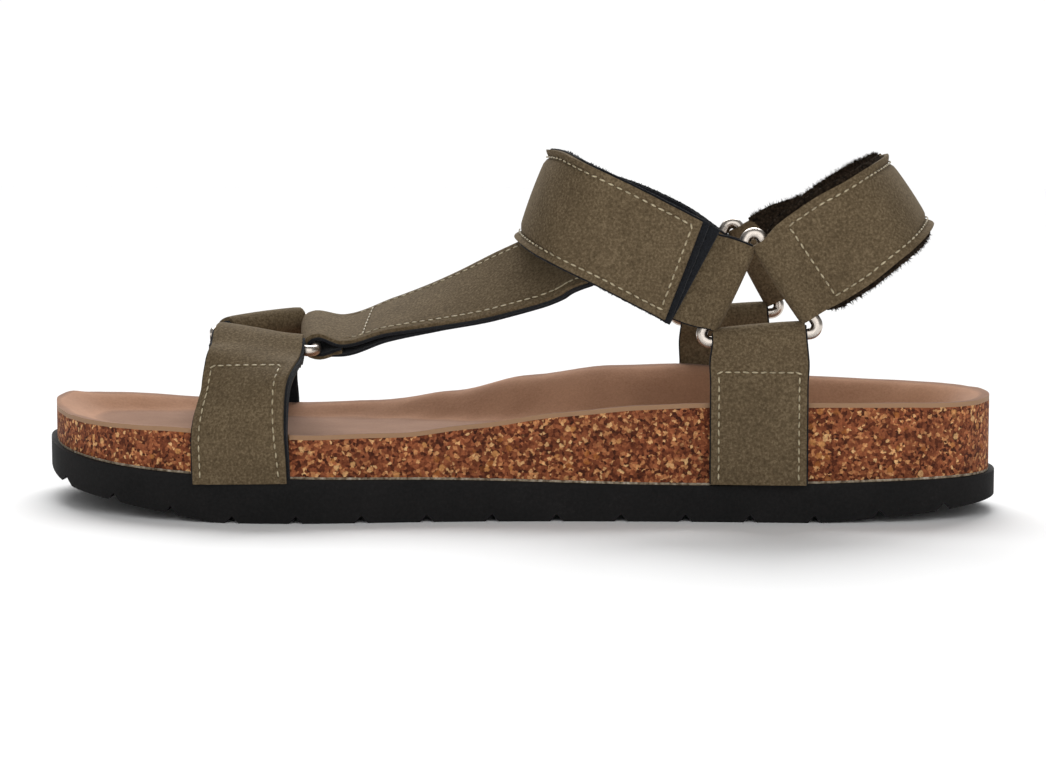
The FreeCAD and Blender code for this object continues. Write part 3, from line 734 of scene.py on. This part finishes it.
def side_straps():
    """The two upright doubled straps that hold the side rings."""
    for side, ring, y, sign in (("lateral", RING_LATERAL, -34.9, -1),
                                ("medial", RING_MEDIAL, 32.3, 1)):
        x = (ring[FRONT][0] + ring[REAR][0]) / 2
        out = (0, sign, 0)
        spine = square([((x, y, 10.2), (1, 0, 0), out), ((x, y, 17), (1, 0, 0), out),
                        ((x, y, 24), (1, 0, 0), out), ((x, y, 31), (1, 0, 0), out),
                        ((x, y, 37), (1, 0, 0.03), out), ((x, y, 42), (1, 0, 0.06), out, 25.4)])
        name = side + "_side_strap"
        seam = (x, y + sign * 1.6, 39.8)
        band = doubled_strap(name, (name, name + "_lining"), spine, bar(ring, FRONT, REAR),
                             seam=seam)
        u_stitch(name + "_stitching", band, 1.0, band.nearest(seam))


TOE_FRAMES = [
    ((-80, 46.6, 10.5), (1, 0, 0), (0, 1, 0)),
    ((-80, 46.7, 16), (1, 0, 0), (0, 1, 0)),
    ((-80.1, 46.6, 23), (1, 0.02, 0), (0, 1, 0.06)),
    ((-80.4, 45.2, 30), (1, 0.04, 0), (0, 1, 0.35)),
    ((-79.6, 41.2, 36.6), (1, 0.12, 0.02), (-0.05, 0.9, 0.6)),
    ((-78.2, 34.6, 40.6), (1, 0.26, 0.04), (-0.1, 0.6, 0.9)),
    ((-76.2, 26.4, 43.0), (1, 0.45, 0.05), (-0.1, 0.3, 1)),
    ((-73.8, 18, 44.4), (1, 0.62, 0.06), (-0.1, 0.15, 1)),
    ((-73.6, 8.8, 46.0), (1, 0.9, 0.09), (-0.2, 0.1, 1))]


def tab_bands(rows):
    """A closing tab's nubuck and hook tape, pressed down at the fold and raised after it."""
    pressed, rising, raised = 1.95, 2.45, 2.75
    lifts = np.interp(np.arange(len(rows)), (0, 1, 2), (pressed, rising, raised))
    tape_below, tape_narrower = 0.9, 3
    over = Band([(p + n * lift, a, w) for (p, a, n, w), lift in zip(rows, lifts)], rows[0][2])
    under = Band([(p + n * (lift - tape_below), a, w - tape_narrower) for (p, a, n, w), lift
                  in list(zip(rows, lifts))[1:]], rows[0][2])
    return over, under


def toe_strap_and_tab():
    """From the inner side of the sole to the front ring, and the end that turns back over it."""
    spine = square(TOE_FRAMES)
    _, *layers = single_strap("toe_strap", ("toe_strap", "toe_strap_lining"), spine,
                              bar(RING_FRONT, 2, 0), slide=1.0, first=-10)
    for piece in layers:
        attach(piece, "root")
    rows = square(TOE_FRAMES[3:8][::-1])
    over, under = tab_bands(rows)
    tab = strap_layer("toe_tab_nubuck", over, SKIN, NUBUCK)
    tape = strap_layer("toe_tab_hooks", under, HOOK_TAPE, HOOKS, crown=0, depth=0)
    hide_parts("toe_tab")
    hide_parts("toe_tab_hook_patch")
    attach(tab, "toe_tab")
    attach(tape, "toe_tab")
    u_stitch("toe_tab_stitching", over, 3, over.length - 2.0, body="toe_tab")


def instep_strap():
    """From the front ring up the instep to the inside of the ankle strap."""
    rows = [
        ((25.5, -20.5, 71.6), (-0.4, 0.78, 0.44), (-0.75, -0.6, 0.6), 24),
        ((17.5, -16.5, 69.6), (-0.4, 0.78, 0.44), (-0.7, -0.6, 0.7), 27.5),
        ((9, -13.5, 65.6), (-0.36, 0.8, 0.45), (-0.6, -0.6, 0.85), 28),
        ((-3, -10.6, 61.0), (-0.25, 0.85, 0.45), (-0.4, -0.55, 1), 28),
        ((-18, -7.4, 55.9), (-0.12, 0.9, 0.36), (-0.3, -0.4, 1), 27),
        ((-33, -5.2, 51.6), (-0.04, 0.95, 0.27), (-0.2, -0.27, 1), 26),
        ((-46.4, -4.2, 47.6), (-0.1, 0.96, 0.22), (-0.08, -0.2, 1), 25)]
    seam = (-39, -4.6, 50.4)
    band, *layers = single_strap("instep_strap", ("instep_strap", "instep_strap_lining"),
                                 square(rows), bar(RING_FRONT, 1, 2), seams=(seam,),
                                 sewn=(0, 77))
    for piece in layers:
        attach(piece, "root")
    cross = band.nearest(seam)
    lines = [edge_line(band, 2, cross + 4, -1), edge_line(band, 2, cross + 4, 1)]
    half = float(band.half_at(cross)) - STITCH_INSET
    lines.append([(cross, -half), (cross, half)])
    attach(stitches("instep_strap_stitching", band, lines), "root")


def ankle_point(back, side, normal_back, normal_side, width=WIDTH):
    """A frame of the ankle strap, this far back down its slope from the nose."""
    direction = np.array((math.cos(ANKLE_SLOPE), 0, -math.sin(ANKLE_SLOPE)))
    across = np.array((math.sin(ANKLE_TILT), 0, math.cos(ANKLE_TILT)))
    normal = direction * normal_back + np.array((0, normal_side, 0))
    return ANKLE_NOSE + direction * back + np.array((0, side, 0)), across, normal, width


def ankle_curve(angles):
    """Places round the front of the ankle, from the inner side (-90) to the outer side (90)."""
    depth = 25.0
    flatness = 0.8
    nose_push = 1.3
    middle = (ANKLE_OUTER + ANKLE_INNER) / 2
    radius = (ANKLE_INNER - ANKLE_OUTER) / 2
    rows = []
    for angle in np.radians(angles):
        back = depth * (1 - abs(math.cos(angle)) ** flatness) + nose_push * math.cos(angle)
        rows.append(ankle_point(back, middle - radius * math.sin(angle),
                                -math.cos(angle) * radius, -math.sin(angle) * depth))
    return rows


def ankle_strap():
    """One long strap: a loop on the inner ring, round the ankle's front, and a free outer end."""
    free_end = [ankle_point(b, ANKLE_OUTER - lift, 0, -1, 27.2)
                for b, lift in ((49.9, 2.0), (46, 1.1), (40, 0.3), (34, 0), (28, 0))]
    bend = []
    wider_outside, inner_sag = 2.3, 2.4
    angles = (80, 68, 56, 44, 30, 15, 0, -15, -30, -45, -60, -72, -82)
    for angle, (point, across, normal, width) in zip(angles, ankle_curve(angles)):
        extra = wider_outside * min(max((angle - 5) / 40, 0), 1)
        drop = inner_sag * math.sin(math.radians(2 * min(max(-angle, 0), 90)))
        bend.append((point + across * (extra / 2 - drop), across, normal, width + extra))
    free_end = [(p + a * 0.25 * place, a, n, w) for place, (p, a, n, w) in enumerate(free_end)]
    arm = [ankle_point(b, ANKLE_INNER, 0, 1, w) for b, w in ((30, 25), (38, 24.6))]
    spine = square(free_end + bend + arm)
    sewn_length = 72.0
    # skin_trim lets the black lining run 1.4 mm past the nubuck at the free end: partly the lining's
    # own edge, partly a dark band standing in for the shade under that end
    band, skin, felt, lining = single_strap(
        "ankle_strap", ("ankle_strap", "ankle_strap_lining"), spine,
        bar(RING_MEDIAL, FRONT, TOP), flare=(30, 108, 1.0), fuzz=0.35, skin_trim=1.4,
        sewn=(0, sewn_length), slant=3.2)
    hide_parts("ankle_strap", "ankle_flap")
    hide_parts("ankle_strap_lining", "ankle_flap_lining")
    tuft_rows = [(p - n * 1.0, a, w + 1.0) for p, a, n, w in spine]
    tufts = fibres("ankle_strap_fibres", Band(tuft_rows, spine[0][2]), 1500, (0.3, 0.8), LINING,
                   spread=0.4)
    lower = edge_line(band, sewn_length, 2.2, -1)
    upper = edge_line(band, 5.0, sewn_length, 1)
    sewn = stitches("ankle_strap_stitching", band, [lower + upper])
    for piece in (skin, felt, lining, tufts, sewn):
        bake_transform(piece)


def anchor_tab():
    """The short doubled tab on the outer ring that the ankle strap's free end closes on."""
    spine = square([ankle_point(b, -35.0, 0, -1, w) for b, w in ((36, 25), (41, 25), (47, 25),
                                                                (51.5, 24.4))])
    name = "ankle_anchor"
    doubled_strap(name, ("ankle_anchor_tab", "ankle_anchor_lining"), spine,
                  bar(RING_LATERAL, TOP, FRONT))
    rows = [(p + n * 2.1, a, 21) for p, a, n, w in spine[:3]]
    tape = strap_layer("ankle_hooks", Band(rows, spine[0][2]), 0.35, HOOKS, crown=0,
                       depth=0, bevel=0.08)
    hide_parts("ankle_hook_patch")
    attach(tape, "root")


def heel_point(forward, side, normal_back, normal_side, width=WIDTH):
    """A frame of the heel strap, this far forward down its slope from its rear."""
    direction = np.array((math.cos(HEEL_SLOPE), 0, math.sin(HEEL_SLOPE)))
    across = np.array((-math.sin(HEEL_SLOPE), 0, math.cos(HEEL_SLOPE)))
    normal = direction * normal_back + np.array((0, normal_side, 0))
    return HEEL_NOSE - direction * forward + np.array((0, side, 0)), across, normal, width


def heel_curve(angles):
    """Places behind the heel, from the outer side (-90) to the inner side (90)."""
    depth = 15.5
    flatness = 0.9
    narrowing = 2.5
    middle = (HEEL_OUTER + HEEL_INNER) / 2
    radius = (HEEL_INNER - HEEL_OUTER) / 2
    rows = []
    for angle in np.radians(angles):
        forward = depth * (1 - abs(math.cos(angle)) ** flatness)
        width = WIDTH - narrowing * math.cos(angle) ** 2
        rows.append(heel_point(forward, middle + radius * math.sin(angle),
                               math.cos(angle) * radius, math.sin(angle) * depth, width))
    return rows


def heel_strap():
    """From the outer ring round the heel to the inner ring, nubuck outside and pile inside."""
    outer_start = square([heel_point(f, HEEL_OUTER, 0, -1, w) for f, w in ((32, 26), (26, 26.6),
                                                                          (21, 26.6))])
    inner_end = square([heel_point(f, HEEL_INNER, 0, 1, 25) for f in (21, 27)])
    inner_end += square([((76.5, 32.4, 68.8), (-0.5, 0, 0.86), (0, 1, 0), 24.6)])
    curve = square(heel_curve(np.linspace(-78, 78, 15)))
    spine = outer_start + curve + inner_end
    far_bar, near_bar = bar(RING_MEDIAL, TOP, REAR), bar(RING_LATERAL, TOP, REAR)
    whole = around_bar(spine, far_bar, SKIN_LIFT, SKIN_RADIUS, 1, SINGLE_SHIFT)
    start = around_bar(spine[::-1], near_bar, SKIN_LIFT, SKIN_RADIUS, 1, SINGLE_SHIFT)
    loop = start[len(spine):][::-1]
    band = Band(loop + whole, outer_start[0][2])
    if band.normal[len(band.normal) // 3][1] > 0:      # the good side faces out past the loop
        band.normal = -band.normal
    first = band.nearest((82.2, -35.5, 68.8))
    sewn_length, inset = 68, 2.2
    last = first + sewn_length
    skin = strap_layer("heel_strap_nubuck", band, SKIN, NUBUCK, groove=inset,
                       flare=(48, 112, 0.9), seams=(first,), sewn=(first, last))
    cover = inner_cover(spine, far_bar, 2)
    start_cover = inner_cover(spine[::-1], near_bar, 2)
    cover = [start_cover[-1]] + start_cover[-2:-6:-1] + cover[4:]
    pile_thickness, pile_overhang = 1.3, 2.6
    pile_band = Band([(p, a, w + pile_overhang) for p, a, w in cover], outer_start[0][2])
    pile = strap_layer("heel_strap_pile", pile_band, pile_thickness, PILE, crown=0,
                       depth=0)
    tufts = fibres("heel_strap_fibres", pile_band, 2600, (0.7, 1.7), PILE)
    roughen(pile, 0.8, 0.9)
    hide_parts("heel_strap", "heel_loop_lateral", "heel_loop_medial")
    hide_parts("heel_strap_lining", "heel_loop_lateral_lining", "heel_loop_medial_lining")
    line = edge_line(band, last, first, -1, inset) + edge_line(band, first, last, 1, inset)
    sewn = stitches("heel_strap_stitching", band, [line])
    for piece in (skin, pile, tufts, sewn):
        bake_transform(piece)


def heel_tab():
    """The heel strap's end that turns back on the inner side."""
    rows = square(heel_curve((84, 74, 64, 54, 44, 34)))
    over, under = tab_bands(rows)
    tab = strap_layer("heel_tab_nubuck", over, SKIN, NUBUCK)
    tape = strap_layer("heel_tab_hooks", under, HOOK_TAPE, HOOKS, crown=0, depth=0)
    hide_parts("heel_tab")
    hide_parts("heel_tab_hook_patch")
    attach(tab, "heel_tab")
    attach(tape, "heel_tab")
    u_stitch("heel_tab_stitching", over, 3, over.length - 2.0, body="heel_tab")


# ---- stage -----------------------------------------------------------------------------------------
def turned_towards(aim):
    return Vector(aim).to_track_quat("-Z", "Y").to_euler()


def place_on_stage(name, data, location, aim):
    """Puts a light or the camera in the scene, looking along its aim."""
    item = bpy.data.objects.new(name, data)
    item.location = location
    item.rotation_euler = turned_towards(aim)
    bpy.context.scene.collection.objects.link(item)
    return item


def stage():
    """A pale floor, soft studio light, and the camera low on the sandal's outer side."""
    bpy.ops.mesh.primitive_plane_add(size=6, location=(0, 0, 0))
    floor = bpy.context.object
    floor.name = "studio_floor"
    material, tree, _ = start_material("white_studio_paper")
    end_material(tree, **{"Base Color": linear("#F8F8F8"), "Roughness": 0.95,
                          "Specular IOR Level": 0.0})
    floor.data.materials.append(material)

    sky = bpy.data.lights.new("softbox_behind", "SUN")
    sky.energy = 3.7
    sky.angle = math.radians(50)
    place_on_stage("softbox_behind", sky, (0, 0, 0), (0.1, -0.75, -0.72))
    panel = bpy.data.lights.new("front_panel", "AREA")
    panel.size = 1.9
    panel.energy = 16
    place_on_stage("front_panel", panel, (0.25, -1.35, 0.5), (-0.25, 1.35, -0.45))

    light_strength, seen_strength = 0.25, 1.02
    world = bpy.data.worlds.new("studio")
    world.use_nodes = True
    background = world.node_tree.nodes["Background"]
    background.inputs["Color"].default_value = (1, 1, 1, 1)
    seen = add(world.node_tree, "ShaderNodeLightPath").outputs["Is Camera Ray"]
    power = add(world.node_tree, "ShaderNodeMapRange",
                {"Value": seen, "To Min": light_strength, "To Max": seen_strength})
    world.node_tree.links.new(power.outputs["Result"], background.inputs["Strength"])
    bpy.context.scene.world = world
    bpy.context.scene.view_settings.view_transform = "Standard"

    azimuth, elevation, distance = math.radians(5), math.radians(5.7), 0.8
    target = np.array((0.0033, 0, 0.0306))
    direction = np.array((math.sin(azimuth) * math.cos(elevation),
                          -math.cos(azimuth) * math.cos(elevation), math.sin(elevation)))
    data = bpy.data.cameras.new("camera")
    data.lens = 99.5
    data.sensor_width = 36
    data.clip_start = 0.01
    bpy.context.scene.camera = place_on_stage("camera", data, target + direction * distance,
                                              -direction)


dress_cad_nodes()
front_strap()
side_straps()
toe_strap_and_tab()
instep_strap()
ankle_strap()
anchor_tab()
heel_strap()
heel_tab()
stage()
